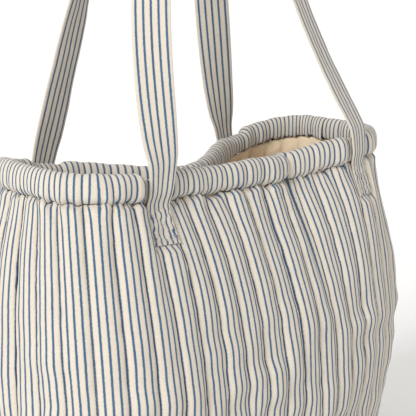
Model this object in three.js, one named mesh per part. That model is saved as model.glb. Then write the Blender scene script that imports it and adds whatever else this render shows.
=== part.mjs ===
// Quilted tote bag with a rolled hem and two long shoulder straps.
// Millimetres, +Z up, the front towards -Y. The origin is on the ground, under the middle of the bag.

import * as THREE from 'three';

// ---------------------------------------------------------------- driving dimensions

// Bag shape: outer sizes of the cover at three heights.
const bellyWidth = 570;        // where the wall bulges most
const bellyDepth = 300;
const baseWidth = 510;         // just above the ground
const baseDepth = 240;
const mouthWidth = 536;        // along the hem's seam
const mouthDepth = 180;
const seamHeight = 367;        // ground to the hem's seam, in the middle of the front
const squareness = 3.1;        // power of the rounded outline: 2 is an oval, larger is boxier
const baseRadius = 25;         // rounding where the wall meets the bottom

// The mouth is not level: its ends stand up and the back falls in.
const cornerRise = 25;
const backBow = 73;            // how far the back's middle leans into the mouth
const backBowWidth = 110;
const backBowPower = 5;        // above 1, only the upper part of the back leans in
const backSag = 16;            // how far the back's middle drops
const sideDip = 0.4;           // share of the rise that is lost from back corner to front corner
const frontFlare = 35;         // how far the front's right part stands out from its middle
const flareStart = 45;         // where that begins, right of the middle
const flareEnd = 170;
const flareRise = 12;          // and how much higher it stands
const flarePower = 4;          // above 1, only the upper part stands out
const leftDrop = 3;            // how far the front's left corner hangs below its middle
const dropStart = 170;         // where that begins, left of the middle
const dropEnd = 245;

// Layers of the wall.
const coverThickness = 1.2;
const waddingThickness = 5;
const liningThickness = 1.0;
const layerGap = 0.3;

// Rolled hem above the seam.
const hemHeight = 33;
const hemDepth = 22;
const hemSkin = 1.4;
const hemLift = 2.2;           // the fold's lower edge above the seam
const hemOpening = 60;         // degrees below level where the fold's two edges end
const hemPaddingGap = 0.6;

// Straps.
const strapWidth = 40;
const strapThickness = 3.2;
const legSpacing = 330;        // between the two legs of one strap
const handleHeight = 390;      // seam to the top of the loop
const legRise = 225;           // height of the curve's lower control point above the seam
const frontLegLean = 22;       // how far that control point is inside the leg's foot
const backLegLean = 45;
const crownReach = 95;         // half width of the loop's rounded top
const handleGap = 4;           // between the two loops where they hang side by side
const strapEndLength = 42;     // sewn-down length below the seam
const strapLift = 0.7;         // a strap's sewn end above the cover
const footStart = 1.4;         // the free strap starts this far above the seam
const footStandOff = 5.4;      // strap's middle in front of the wall at the seam
const hemClearance = 2.0;      // between the strap and the hem it passes
const freeRise = 9;            // the strap stays upright until it is this far above the hem
const frontLeanPower = 1.5;    // above 1, the strap leans in early
const backLeanPower = 0.5;
const earlyTwist = 0.6;        // how soon each leg turns edge-on
const lateTwist = 1.5;

// Sewing.
const stitchWidth = 30;        // box stitch on each strap end
const stitchLine = 1.6;        // width of a row of thread
const stitchThickness = 0.5;
const stitchLift = 1.4;
const hemStitchHeight = 1.3;
const hemStitchDepth = 1.8;

// Fineness of the solids.
const wallSteps = 30;          // along half of the wall
const archSteps = 3;           // round the bottom edge
const riseSteps = 6;           // from there to the seam
const hemSteps = 8;            // round the hem's fold
const strapSteps = 36;         // along one handle
const footCrowding = 1.6;      // above 1, the steps are shorter at the feet
const endColumns = 4;
const endRows = 3;
const arcShare = 0.08;         // share of the wall's height parameter that the bottom rounding takes
const arcAngle = THREE.MathUtils.degToRad(70);
const tiny = 1e-3;             // step for slopes of the wall's surface

const wallThickness = coverThickness + waddingThickness + liningThickness + 2 * layerGap;
const front = -1;
const back = 1;

// ---------------------------------------------------------------- materials

function fabric(name, color, roughness) {
  const material = new THREE.MeshStandardMaterial({ color, roughness, metalness: 0 });
  material.name = name;
  return material;
}

const stripedCotton = fabric('striped cotton', 0xe9dfcb, 0.9);
const liningCotton = fabric('lining cotton', 0xcdb592, 0.9);
const wadding = fabric('wadding', 0xf4f1ea, 1.0);
const thread = fabric('thread', 0xd8c8a8, 0.8);

// ---------------------------------------------------------------- the wall's surface

// Value at share t of a curve that starts at the base, passes the belly half way up and ends at the mouth.
function bulge(base, belly, mouth, t) {
  const middle = 2 * belly - (base + mouth) / 2;
  return (1 - t) * (1 - t) * base + 2 * t * (1 - t) * middle + t * t * mouth;
}

// Point of a rounded outline; angle runs from 0 at the left side seam to PI at the right one.
function outline(halfWidth, halfDepth, angle, side) {
  const power = 2 / squareness;
  const across = Math.cos(angle);
  const x = -Math.sign(across) * halfWidth * Math.abs(across) ** power;
  const y = side * halfDepth * Math.abs(Math.sin(angle)) ** power;
  return new THREE.Vector2(x, y);
}

// Angles of points that are evenly spaced along half of the belly's outline.
function evenAngles(count) {
  const samples = 1440;
  const lengths = [0];
  const angles = [0];
  let last = outline(bellyWidth / 2, bellyDepth / 2, 0, front);
  for (let i = 1; i <= samples; i += 1) {
    const angle = (Math.PI * i) / samples;
    const point = outline(bellyWidth / 2, bellyDepth / 2, angle, front);
    lengths.push(lengths[i - 1] + point.distanceTo(last));
    angles.push(angle);
    last = point;
  }
  const even = [];
  let k = 0;
  for (let j = 0; j <= count; j += 1) {
    const target = (lengths[samples] * j) / count;
    while (k < samples - 1 && lengths[k + 1] < target) {
      k += 1;
    }
    const share = (target - lengths[k]) / (lengths[k + 1] - lengths[k]);
    even.push(angles[k] + share * (angles[k + 1] - angles[k]));
  }
  return even;
}

const angleTable = evenAngles(400);

function angleAt(u) {
  const place = THREE.MathUtils.clamp(u, 0, 1) * (angleTable.length - 1);
  const index = Math.min(Math.floor(place), angleTable.length - 2);
  return THREE.MathUtils.lerp(angleTable[index], angleTable[index + 1], place - index);
}

// Share of the flare of the front's right part at a place along the wall.
function flareAt(angle, side) {
  if (side === back) {
    return 0;
  }
  const mouth = outline(1, 1, angle, side);
  const x = (mouth.x * mouthWidth) / 2;
  return THREE.MathUtils.smoothstep(x, flareStart, flareEnd) * Math.abs(mouth.y);
}

// Share of the drop of the front's left corner at a place along the wall.
function dropAt(mouth, side) {
  if (side === back) {
    return 0;
  }
  return THREE.MathUtils.smoothstep((-mouth.x * mouthWidth) / 2, dropStart, dropEnd) * Math.abs(mouth.y);
}

// Height of the hem's seam at a place along the wall.
function seamAt(angle, side) {
  const mouth = outline(1, 1, angle, side);
  const rise = cornerRise * mouth.x ** 4 * (1 - sideDip + sideDip * mouth.y);
  const x = (mouth.x * mouthWidth) / 2;
  const sag = side === back ? backSag * Math.exp(-((x / backBowWidth) ** 2)) : 0;
  return seamHeight + rise - sag + flareRise * flareAt(angle, side) - leftDrop * dropAt(mouth, side);
}

// Point of the cover's outer face: u runs from side seam to side seam, v from the ground to the hem's seam.
function wallPoint(side, u, v) {
  const angle = angleAt(u);
  const top = seamAt(angle, side);
  let inset = 0;
  let z = 0;
  if (v < arcShare) {
    const turn = arcAngle * (1 - v / arcShare);
    inset = baseRadius * (1 - Math.cos(turn));
    z = baseRadius * (1 - Math.sin(turn));
  } else {
    z = baseRadius + ((v - arcShare) / (1 - arcShare)) * (top - baseRadius);
  }
  const height = z / top;
  const halfWidth = bulge(baseWidth, bellyWidth, mouthWidth, height) / 2 - inset;
  const halfDepth = bulge(baseDepth, bellyDepth, mouthDepth, height) / 2 - inset;
  const point = outline(halfWidth, halfDepth, angle, side);
  if (side === back) {
    point.y -= backBow * height ** backBowPower * Math.exp(-((point.x / backBowWidth) ** 2));
  }
  point.y += side * frontFlare * height ** flarePower * flareAt(angle, side);
  return new THREE.Vector3(point.x, point.y, z);
}

// Outward direction of the wall at a point.
function wallNormal(side, u, v) {
  const low = Math.max(u - tiny, 0);
  const high = Math.min(u + tiny, 1);
  const along = wallPoint(side, high, v).sub(wallPoint(side, low, v));
  if (low === 0 || high === 1) {
    along.set(0, along.y, 0);
  }
  const up = wallPoint(side, u, Math.min(v + tiny, 1)).sub(wallPoint(side, u, Math.max(v - tiny, 0)));
  const normal = along.cross(up).normalize();
  return side === front ? normal : normal.negate();
}

// Point at a depth behind the outer face; a negative depth is in front of it.
function layerPoint(side, u, v, depth) {
  return wallPoint(side, u, v).addScaledVector(wallNormal(side, u, v), -depth);
}

// Outward direction in the level plane, for what stands on the seam.
function levelNormal(side, u) {
  const normal = wallNormal(side, u, 1);
  normal.z = 0;
  return normal.normalize();
}

// Share along the wall where the mouth has a given x.
function shareAt(side, x) {
  let low = 0;
  let high = 1;
  for (let i = 0; i < 40; i += 1) {
    const middle = (low + high) / 2;
    if (wallPoint(side, middle, 1).x < x) {
      low = middle;
    } else {
      high = middle;
    }
  }
  return (low + high) / 2;
}

// ---------------------------------------------------------------- solids

// Closed solid through rings of equally many points. Each ring goes along one face of the piece and back
// along the other, so point i lies opposite the point that is as far from the ring's end.
function loft(rings) {
  const count = rings[0].length;
  const positions = rings.flat().flatMap((p) => [p.x, p.y, p.z]);
  const faces = [];
  const quad = (a, b, c, d) => faces.push(a, b, c, a, c, d);
  for (let r = 0; r < rings.length - 1; r += 1) {
    for (let i = 0; i < count; i += 1) {
      const next = (i + 1) % count;
      const corners = [r * count + i, r * count + next, (r + 1) * count + next, (r + 1) * count + i];
      // Both faces are cut into triangles along the same diagonal, so that layers nest.
      if (i >= count / 2) {
        corners.push(corners.shift());
      }
      quad(...corners);
    }
  }
  const last = (rings.length - 1) * count;
  for (let i = 0; i < count / 2 - 1; i += 1) {
    const opposite = count - 1 - i;
    quad(i, opposite, opposite - 1, i + 1);
    quad(last + i, last + i + 1, last + opposite - 1, last + opposite);
  }
  if (signedVolume(positions, faces) < 0) {
    faces.reverse();
  }
  const geometry = new THREE.BufferGeometry();
  geometry.setAttribute('position', new THREE.Float32BufferAttribute(positions, 3));
  geometry.setIndex(faces);
  geometry.computeVertexNormals();
  return geometry;
}

function signedVolume(positions, faces) {
  const corner = (i) => new THREE.Vector3().fromArray(positions, 3 * faces[i]);
  let volume = 0;
  for (let i = 0; i < faces.length; i += 3) {
    volume += corner(i).dot(corner(i + 1).cross(corner(i + 2)));
  }
  return volume;
}

function range(count, make) {
  return Array.from({ length: count + 1 }, (_, i) => make(i / count));
}

// Heights of the wall's rows: closer together round the bottom edge.
function wallRows() {
  const arc = range(archSteps, (t) => t * arcShare).slice(0, -1);
  return arc.concat(range(riseSteps, (t) => arcShare + t * (1 - arcShare)));
}

// Places along half of the wall, ending just short of the side seams.
function wallColumns() {
  const seamAllowance = tiny / 4;
  return range(wallSteps, (t) => THREE.MathUtils.clamp(t, seamAllowance, 1 - seamAllowance));
}

// One layer of half of the wall, between two depths behind the cover's outer face.
function wallLayer(side, outerDepth, thickness) {
  const rows = wallRows();
  const rings = wallColumns().map((u) => {
    const outer = rows.map((v) => layerPoint(side, u, v, outerDepth));
    const inner = rows.map((v) => layerPoint(side, u, v, outerDepth + thickness));
    return outer.concat(inner.reverse());
  });
  return loft(rings);
}

// Flat layer of the bottom, inset from the wall's lowest edge.
function baseLayer(inset, low, thickness) {
  const halfWidth = baseWidth / 2 - inset;
  const halfDepth = baseDepth / 2 - inset;
  const shape = new THREE.Shape();
  const corners = 2 * wallSteps;
  for (let i = 0; i < corners; i += 1) {
    const side = i < wallSteps ? front : back;
    const turn = side === front ? i / wallSteps : 2 - i / wallSteps;
    const point = outline(halfWidth, halfDepth, angleAt(turn), side);
    if (i === 0) {
      shape.moveTo(point.x, point.y);
    } else {
      shape.lineTo(point.x, point.y);
    }
  }
  shape.closePath();
  const geometry = new THREE.ExtrudeGeometry(shape, { depth: thickness, bevelEnabled: false });
  geometry.translate(0, 0, low);
  return geometry;
}

// Point of the hem's round section: out is level and outward, z is up from the seam.
function hemPoint(side, u, angle, shrink) {
  const foot = wallPoint(side, u, 1);
  const out = -wallThickness / 2 + (hemDepth / 2 - shrink) * Math.cos(angle);
  const half = (hemHeight - hemLift) / (1 + Math.sin(THREE.MathUtils.degToRad(hemOpening)));
  const z = hemHeight - half + (half - shrink) * Math.sin(angle);
  return foot.addScaledVector(levelNormal(side, u), out).add(new THREE.Vector3(0, 0, z));
}

function hemFold(side) {
  const open = THREE.MathUtils.degToRad(hemOpening);
  const angles = range(hemSteps, (t) => -open + t * (Math.PI + 2 * open));
  const rings = wallColumns().map((u) => {
    const outer = angles.map((angle) => hemPoint(side, u, angle, 0));
    const inner = angles.map((angle) => hemPoint(side, u, angle, hemSkin));
    return outer.concat(inner.reverse());
  });
  return loft(rings);
}

function hemPadding(side) {
  const open = THREE.MathUtils.degToRad(hemOpening);
  const angles = range(hemSteps, (t) => -open + t * (Math.PI + 2 * open)).slice(0, hemSteps);
  const rings = wallColumns().map((u) => angles.map((a) => hemPoint(side, u, a, hemSkin + hemPaddingGap)));
  return loft(rings);
}

// The row of thread that closes the hem, lying in the joint between hem and wall.
function hemStitch(side) {
  const rings = wallColumns().map((u) => {
    const foot = wallPoint(side, u, 1);
    const normal = levelNormal(side, u);
    const corner = (out, up) => foot.clone().addScaledVector(normal, out).setZ(foot.z + up);
    const near = hemStitchDepth / 2;
    return [
      corner(near, layerGap),
      corner(near, layerGap + hemStitchHeight),
      corner(-near, layerGap + hemStitchHeight),
      corner(-near, layerGap),
    ];
  });
  return loft(rings);
}

// ---------------------------------------------------------------- straps

// Ground plan direction of the wall where a leg stands, pointing towards +X.
function footYaw(side, end) {
  const normal = levelNormal(side, shareAt(side, (end * legSpacing) / 2));
  return Math.atan2(normal.x * -side, normal.y * side);
}

// Share of the way from the hem's top to the loop's top, 0 below the hem.
function aboveHem(height) {
  const start = hemHeight + freeRise;
  return THREE.MathUtils.clamp((height - start) / (handleHeight - start), 0, 1);
}

// One cross-section of a handle; t runs from the left leg's foot to the right leg's.
function handleRing(side, t) {
  const end = t < 0.5 ? -1 : 1;
  const along = end < 0 ? 2 * t : 2 - 2 * t;
  const foot = wallPoint(side, shareAt(side, (end * legSpacing) / 2), 1);
  const centre = handlePoint(side, end, along, foot);
  const step = 0.01;
  const before = handlePoint(side, end, Math.max(along - step, 0), foot);
  const after = handlePoint(side, end, Math.min(along + step, 1), foot);
  const tangent = after.sub(before).normalize();
  if (along > 1 - step) {
    tangent.set(-end, 0, 0);
  }
  const yaw = handleYaw(side, end, centre.z - foot.z);
  const across = new THREE.Vector3(Math.cos(yaw), Math.sin(yaw), 0).multiplyScalar(-end);
  const face = tangent.clone().cross(across).multiplyScalar(end).normalize();
  const corner = (w, f) => centre.clone()
    .addScaledVector(across, w * strapWidth / 2)
    .addScaledVector(face, f * strapThickness / 2);
  return [corner(-1, 1), corner(1, 1), corner(1, -1), corner(-1, -1)];
}

// Middle of the strap at a share of one leg, from its foot to the top of the loop.
function handlePoint(side, end, along, foot) {
  const halfSpan = legSpacing / 2;
  const legLean = side === front ? frontLegLean : backLegLean;
  const curve = new THREE.CubicBezierCurve(
    new THREE.Vector2(halfSpan, footStart),
    new THREE.Vector2(halfSpan - legLean, legRise),
    new THREE.Vector2(crownReach, handleHeight),
    new THREE.Vector2(0, handleHeight),
  );
  const place = curve.getPoint(along);
  const overHem = hemDepth / 2 - wallThickness / 2 + hemClearance + strapThickness / 2;
  const pushed = THREE.MathUtils.smoothstep(place.y, footStart, hemHeight / 4);
  const standing = side * foot.y + THREE.MathUtils.lerp(footStandOff, overHem, pushed);
  const power = side === front ? frontLeanPower : backLeanPower;
  const lean = 1 - (1 - aboveHem(place.y)) ** power;
  const depth = THREE.MathUtils.lerp(standing, (strapWidth + handleGap) / 2, lean);
  const level = THREE.MathUtils.lerp(foot.z, meanFootHeight(side), along);
  return new THREE.Vector3(end * place.x, side * depth, level + place.y);
}

// Height halfway between the feet of a strap's two legs.
function meanFootHeight(side) {
  const heights = [-1, 1].map((end) => wallPoint(side, shareAt(side, (end * legSpacing) / 2), 1).z);
  return (heights[0] + heights[1]) / 2;
}

// The strap's width lies along the wall at the foot and across the bag at the top of the loop.
function handleYaw(side, end, height) {
  const start = footYaw(side, end);
  const early = end * side > 0;
  const turned = aboveHem(height) ** (early ? earlyTwist : lateTwist);
  return THREE.MathUtils.lerp(start, (-end * side * Math.PI) / 2, turned);
}

// Cross-sections lie closer together at the feet, where the strap steps out over the hem.
function handle(side) {
  const rings = range(strapSteps, (t) => {
    const leg = t < 0.5 ? 2 * t : 2 - 2 * t;
    const along = leg ** footCrowding / 2;
    return handleRing(side, t < 0.5 ? along : 1 - along);
  });
  return loft(rings);
}

// Place on the wall near a leg's foot: across along the seam, down below it, out from the cover.
function footPlace(side, end, across, down, out) {
  const u = shareAt(side, (end * legSpacing) / 2) + across / wallPerimeter(side);
  const v = 1 - (down / (seamHeight - baseRadius)) * (1 - arcShare);
  return layerPoint(side, u, v, -out);
}

// Length of half of the mouth along the wall's share, measured next to the legs.
function wallPerimeter(side) {
  const u = shareAt(side, -legSpacing / 2);
  return wallPoint(side, u + tiny, 1).distanceTo(wallPoint(side, u - tiny, 1)) / (2 * tiny);
}

function strapEnd(side, end) {
  const rings = range(endColumns, (t) => {
    const across = (t - 0.5) * strapWidth;
    const face = range(endRows, (s) => footPlace(side, end, across, 0.5 + s * strapEndLength,
      strapLift + strapThickness));
    const under = range(endRows, (s) => footPlace(side, end, across, 0.5 + s * strapEndLength, strapLift));
    return face.concat(under.reverse());
  });
  return loft(rings);
}

// A square row of thread with a cross in it, laid on a strap's sewn end.
function boxStitch(side, end) {
  const half = stitchWidth / 2;
  const inner = half - stitchLine;
  const arm = stitchLine * 0.75;
  const shape = new THREE.Shape();
  shape.moveTo(-half, -half);
  shape.lineTo(half, -half);
  shape.lineTo(half, half);
  shape.lineTo(-half, half);
  shape.closePath();
  for (let quarter = 0; quarter < 4; quarter += 1) {
    const turn = (quarter * Math.PI) / 2;
    const corner = (x, y) => new THREE.Vector2(x, y).rotateAround(new THREE.Vector2(), turn);
    const gap = new THREE.Path();
    gap.setFromPoints([corner(0, arm), corner(inner - arm, inner), corner(arm - inner, inner)]);
    gap.closePath();
    shape.holes.push(gap);
  }
  const geometry = new THREE.ExtrudeGeometry(shape, { depth: stitchThickness, bevelEnabled: false });
  const positions = geometry.getAttribute('position');
  const point = new THREE.Vector3();
  for (let i = 0; i < positions.count; i += 1) {
    point.fromBufferAttribute(positions, i);
    const out = strapLift + strapThickness + stitchLift + point.z;
    const place = footPlace(side, end, point.x, strapEndLength / 2 - point.y, out);
    positions.setXYZ(i, place.x, place.y, place.z);
  }
  geometry.computeVertexNormals();
  return side === front ? geometry : flipped(geometry);
}

// The same surface with its faces turned round.
function flipped(geometry) {
  const positions = geometry.getAttribute('position');
  const first = new THREE.Vector3();
  const second = new THREE.Vector3();
  for (let i = 0; i < positions.count; i += 3) {
    first.fromBufferAttribute(positions, i);
    second.fromBufferAttribute(positions, i + 1);
    positions.setXYZ(i, second.x, second.y, second.z);
    positions.setXYZ(i + 1, first.x, first.y, first.z);
  }
  geometry.computeVertexNormals();
  return geometry;
}

// ---------------------------------------------------------------- the bag

const bag = new THREE.Group();

function add(name, geometry, material) {
  const mesh = new THREE.Mesh(geometry, material);
  mesh.name = name;
  bag.add(mesh);
}

const sideNames = new Map([[front, 'front'], [back, 'back']]);
const endNames = new Map([[-1, 'left'], [1, 'right']]);
const waddingDepth = coverThickness + layerGap;
const liningDepth = waddingDepth + waddingThickness + layerGap;

for (const [side, sideName] of sideNames) {
  add(`cover_${sideName}`, wallLayer(side, 0, coverThickness), stripedCotton);
  add(`wadding_${sideName}`, wallLayer(side, waddingDepth, waddingThickness), wadding);
  add(`lining_${sideName}`, wallLayer(side, liningDepth, liningThickness), liningCotton);
  add(`hem_${sideName}`, hemFold(side), stripedCotton);
  add(`hem_padding_${sideName}`, hemPadding(side), wadding);
  add(`hem_stitch_${sideName}`, hemStitch(side), thread);
  add(`${sideName}_handle`, handle(side), stripedCotton);
  for (const [end, endName] of endNames) {
    add(`strap_end_${sideName}_${endName}`, strapEnd(side, end), stripedCotton);
    add(`box_stitch_${sideName}_${endName}`, boxStitch(side, end), thread);
  }
}

const edgeInset = baseRadius * (1 - Math.cos(arcAngle));
const lowestEdge = baseRadius * (1 - Math.sin(arcAngle));
const innerInset = edgeInset + wallThickness * Math.cos(arcAngle) + 1;
add('cover_base', baseLayer(edgeInset, 0, lowestEdge - layerGap), stripedCotton);
add('wadding_base', baseLayer(innerInset, lowestEdge, waddingThickness), wadding);
add('lining_base', baseLayer(innerInset, lowestEdge + waddingThickness + layerGap, liningThickness),
  liningCotton);

export default bag;
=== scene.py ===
"""Quilted tote bag: striped cotton cover, rolled hem, beige lining and two shoulder straps.

Lengths are metres. The bag stands on the ground at z = 0 with its front towards -Y.
"""

import math

import bmesh
import bpy
import numpy as np
from bpy.props import FloatProperty, FloatVectorProperty, IntProperty, PointerProperty
from mathutils import Matrix, Vector


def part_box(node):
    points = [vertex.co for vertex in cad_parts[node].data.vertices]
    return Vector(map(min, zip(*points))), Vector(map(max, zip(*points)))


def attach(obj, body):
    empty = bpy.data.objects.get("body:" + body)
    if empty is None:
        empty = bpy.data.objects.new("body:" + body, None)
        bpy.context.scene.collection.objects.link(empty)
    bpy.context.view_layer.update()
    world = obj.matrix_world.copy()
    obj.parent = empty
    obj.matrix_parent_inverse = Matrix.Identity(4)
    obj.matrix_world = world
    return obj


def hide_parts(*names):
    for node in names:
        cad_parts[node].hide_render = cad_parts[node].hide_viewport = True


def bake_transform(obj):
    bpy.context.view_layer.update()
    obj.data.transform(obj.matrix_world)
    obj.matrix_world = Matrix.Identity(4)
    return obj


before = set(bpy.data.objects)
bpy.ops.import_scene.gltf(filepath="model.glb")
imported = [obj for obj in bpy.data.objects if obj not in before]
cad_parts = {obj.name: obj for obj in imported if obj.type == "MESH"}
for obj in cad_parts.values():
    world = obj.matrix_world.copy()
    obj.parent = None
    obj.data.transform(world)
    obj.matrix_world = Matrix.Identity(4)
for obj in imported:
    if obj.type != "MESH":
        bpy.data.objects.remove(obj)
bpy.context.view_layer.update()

bl_info = {
    "name": "Quilted Tote Bag",
    "version": (1, 0, 0),
    "blender": (4, 5, 0),
    "location": "View3D > Sidebar > Tote Bag",
    "description": "Builds a quilted cotton tote bag with a rolled hem and two straps",
    "category": "Add Mesh",
}

# ---------------------------------------------------------------- the bag's shape

FRONT = -1
BACK = 1
SIDE_NAMES = {FRONT: "front", BACK: "back"}

# Outer sizes of the cover: the width is read from the frame, the rest repeat the frame's values.
BELLY_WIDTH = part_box("cover_front")[1].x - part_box("cover_front")[0].x
BELLY_DEPTH = 0.300
BASE_WIDTH = 0.510
BASE_DEPTH = 0.240
MOUTH_WIDTH = 0.536
MOUTH_DEPTH = 0.180
SEAM_HEIGHT = 0.367
SQUARENESS = 3.1
BASE_RADIUS = 0.025
ARC_SHARE = 0.08
ARC_ANGLE = math.radians(70)

# The mouth's ends stand up, the back's middle falls in, the front's right part stands out.
CORNER_RISE = 0.025
SIDE_DIP = 0.4
BACK_BOW = 0.073
BACK_BOW_WIDTH = 0.110
BACK_BOW_POWER = 5
BACK_SAG = 0.016
FLARE = 0.028
FLARE_START = 0.045
FLARE_END = 0.170
FLARE_RISE = 0.012
FLARE_POWER = 4
LEFT_DROP = 0.003
DROP_START = 0.170
DROP_END = 0.245

# The pull of the straps: the wall bulges out beside a leg and steps in between the legs.
BULGE = 0.010
BULGE_EDGES = (-0.200, -0.181)
BULGE_FADE = (-0.266, -0.236)
BULGE_RISE = 0.005
DIP = 0.008
DIP_EDGES = (-0.156, -0.136)
DIP_FADE = (-0.090, -0.020)
PULL_POWER = 5
BACK_PULL = 0.5

# The deep fold down the front, right of the middle.
FOLD_PLACE = 0.048
FOLD_DEPTH = 0.006
FOLD_WIDTH = 0.005
FOLD_BULGE = 0.004
FOLD_BULGE_PLACE = 0.024
FOLD_BULGE_WIDTH = 0.020

# Layers, measured in from the cover's nominal face, and the gathers by the hem's seam.
STITCH_DEPTH = 0.0024
LINING_DEPTH = 0.0078
LINING_PUFF = 0.0042
CLOTH = 0.0009
GATHER_DEPTH = 0.0024
GATHER_REACH = 0.018
PUCKER_PITCH = 0.0052
PUCKER_DEPTH = 0.0032
PUCKER_RISE = 0.0048
PUCKER_SHIFT = 0.0042
PUCKER_REACH = 0.007
SLACK_FADE = 0.08
SEAM_DEPTH = 0.0016

# Rolled hem.
HEM_HEIGHT = 0.0305
HEM_REACH = 0.0114
HEM_SQUARENESS = 0.92
INNER_RISE = 0.005
INNER_SPREAD = 0.022
HEM_OPENING = math.radians(48)
WALL_THICKNESS = 0.0078

# Straps. The loops lean further in than the frame's, and twist leg by leg.
STRAP_WIDTH = 0.040
STRAP_THICKNESS = 0.0030
LEG_SPACING = 0.330
FOOT_LEVEL = 0.3750
HANDLE_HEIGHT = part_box("front_handle")[1].z - FOOT_LEVEL
LEG_RISE = 0.225
LEG_LEAN = {FRONT: 0.028, BACK: 0.066}
CROWN_REACH = 0.087
HANDLE_SPACING = 0.044
SEWN_LENGTH = 0.038
FREE_RISE = 0.009
LEAN_POWER = {(FRONT, -1): 1.6, (FRONT, 1): 2.3, (BACK, -1): 0.5, (BACK, 1): 0.5}
EARLY_TWIST = 0.6
LATE_TWIST = {FRONT: 5.5, BACK: 2.2}
FOOT_WIDTH = 0.76
FOOT_REACH = 0.045
END_THINNESS = 0.5
SEWN_DENT = 0.0006
SEWN_SHIFT = 0.0028

TINY = 1e-3

# How finely the meshes are divided: columns are counted for each quilted channel.
FINE_COLUMNS = 18
LINING_COLUMNS = 8
HIDDEN_COLUMNS = 4
COVER_ROWS = 96
LINING_ROWS = 80
HEM_ROWS = 56
ROLL_ROWS = 20
STRAP_COLUMNS = 44
STRAP_ROWS = 420
BASE_COLUMNS = 160
BASE_ROWS = 40
TOP_CROWDING = 1.45
WELD = 1e-6
LAYER_GAP = 0.0002


def smooth(low, high, x):
    """0 before low, 1 after high, and a soft step between them."""
    t = np.clip((x - low) / (high - low), 0, 1)
    return t * t * (3 - 2 * t)


def noise(x, y, seed):
    """Smooth noise from -1 to 1 over two coordinates, the same each time for a seed."""
    table = np.random.default_rng(seed).uniform(-1, 1, (64, 64))
    xi = np.floor(x).astype(int)
    yi = np.floor(y).astype(int)
    wx = (x - xi) ** 2 * (3 - 2 * (x - xi))
    wy = (y - yi) ** 2 * (3 - 2 * (y - yi))
    low = table[xi % 64, yi % 64] * (1 - wx) + table[(xi + 1) % 64, yi % 64] * wx
    high = table[xi % 64, (yi + 1) % 64] * (1 - wx) + table[(xi + 1) % 64, (yi + 1) % 64] * wx
    return low * (1 - wy) + high * wy


def bulge(base, belly, mouth, t):
    """Curve that starts at the base, passes the belly half way up and ends at the mouth."""
    middle = 2 * belly - (base + mouth) / 2
    return (1 - t) ** 2 * base + 2 * t * (1 - t) * middle + t * t * mouth


def outline(half_width, half_depth, angle, side):
    """Rounded outline; the angle runs from 0 at the left side seam to pi at the right one."""
    power = 2 / SQUARENESS
    across = np.cos(angle)
    x = -np.sign(across) * half_width * np.abs(across) ** power
    y = side * half_depth * np.abs(np.sin(angle)) ** power
    return x, y


def even_angles():
    """Shares of half of the belly's length and the angles that they are at, with that length."""
    angles = np.linspace(0, math.pi, 2881)
    x, y = outline(BELLY_WIDTH / 2, BELLY_DEPTH / 2, angles, FRONT)
    lengths = np.concatenate([[0], np.cumsum(np.hypot(np.diff(x), np.diff(y)))])
    return lengths / lengths[-1], angles, float(lengths[-1])


SHARES, ANGLES, HALF_GIRTH = even_angles()


def flare_at(x, depth_share, side):
    """How much of the front's flare there is at a place along the mouth."""
    if side == BACK:
        return np.zeros_like(x)
    return smooth(FLARE_START, FLARE_END, x) * np.abs(depth_share)


def seam_at(angle, side):
    """Height of the hem's seam."""
    cx, cy = outline(1, 1, angle, side)
    x = cx * MOUTH_WIDTH / 2
    rise = CORNER_RISE * cx ** 4 * (1 - SIDE_DIP + SIDE_DIP * cy)
    sag = BACK_SAG * np.exp(-((x / BACK_BOW_WIDTH) ** 2)) if side == BACK else 0
    drop = LEFT_DROP * smooth(DROP_START, DROP_END, -x) * np.abs(cy) if side == FRONT else 0
    lift = BULGE_RISE * bulge_at(x, side) if side == FRONT else 0
    return SEAM_HEIGHT + rise - sag + FLARE_RISE * flare_at(x, cy, side) - drop + lift


def bulge_at(x, side):
    """Share of the bulge beside a leg."""
    place = x * -side
    return (1 - smooth(*BULGE_EDGES, place)) * smooth(*BULGE_FADE, place)


def pull_at(x, side):
    """How far the straps pull the wall in at the mouth; less than 0 where it bulges out."""
    place = x * -side
    out = BULGE * bulge_at(x, side)
    dip = DIP * smooth(*DIP_EDGES, place) * (1 - smooth(*DIP_FADE, place))
    return (dip - out) * (1 if side == FRONT else BACK_PULL)


def fold_at(x, side):
    """The deep fold of the front and the bulge beside it."""
    if side == BACK:
        return np.zeros_like(x)
    valley = FOLD_DEPTH * np.exp(-(((x - FOLD_PLACE) / FOLD_WIDTH) ** 2))
    beside = FOLD_BULGE * np.exp(-(((x - FOLD_BULGE_PLACE) / FOLD_BULGE_WIDTH) ** 2))
    return valley - beside


def wall_point(side, u, v):
    """Nominal outer face of the wall: u from side seam to side seam, v from the ground to the hem's seam."""
    angle = np.interp(u, SHARES, ANGLES)
    top = seam_at(angle, side)
    turn = ARC_ANGLE * (1 - np.minimum(v / ARC_SHARE, 1))
    inset = BASE_RADIUS * (1 - np.cos(turn))
    rise = (v - ARC_SHARE) / (1 - ARC_SHARE)
    z = np.where(v < ARC_SHARE, BASE_RADIUS * (1 - np.sin(turn)), BASE_RADIUS + rise * (top - BASE_RADIUS))
    height = z / top
    half_width = bulge(BASE_WIDTH, BELLY_WIDTH, MOUTH_WIDTH, height) / 2 - inset
    half_depth = bulge(BASE_DEPTH, BELLY_DEPTH, MOUTH_DEPTH, height) / 2 - inset
    x, y = outline(half_width, half_depth, angle, side)
    cx, cy = outline(1, 1, angle, side)
    mouth_x = cx * MOUTH_WIDTH / 2
    if side == BACK:
        y = y - BACK_BOW * height ** BACK_BOW_POWER * np.exp(-((x / BACK_BOW_WIDTH) ** 2))
    y = y + side * FLARE * height ** FLARE_POWER * flare_at(mouth_x, cy, side)
    y = y - side * pull_at(mouth_x, side) * height ** PULL_POWER
    y = y - side * fold_at(mouth_x, side) * smooth(0.45, 0.95, height)
    return np.stack([x, y, z], axis=-1)


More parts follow.
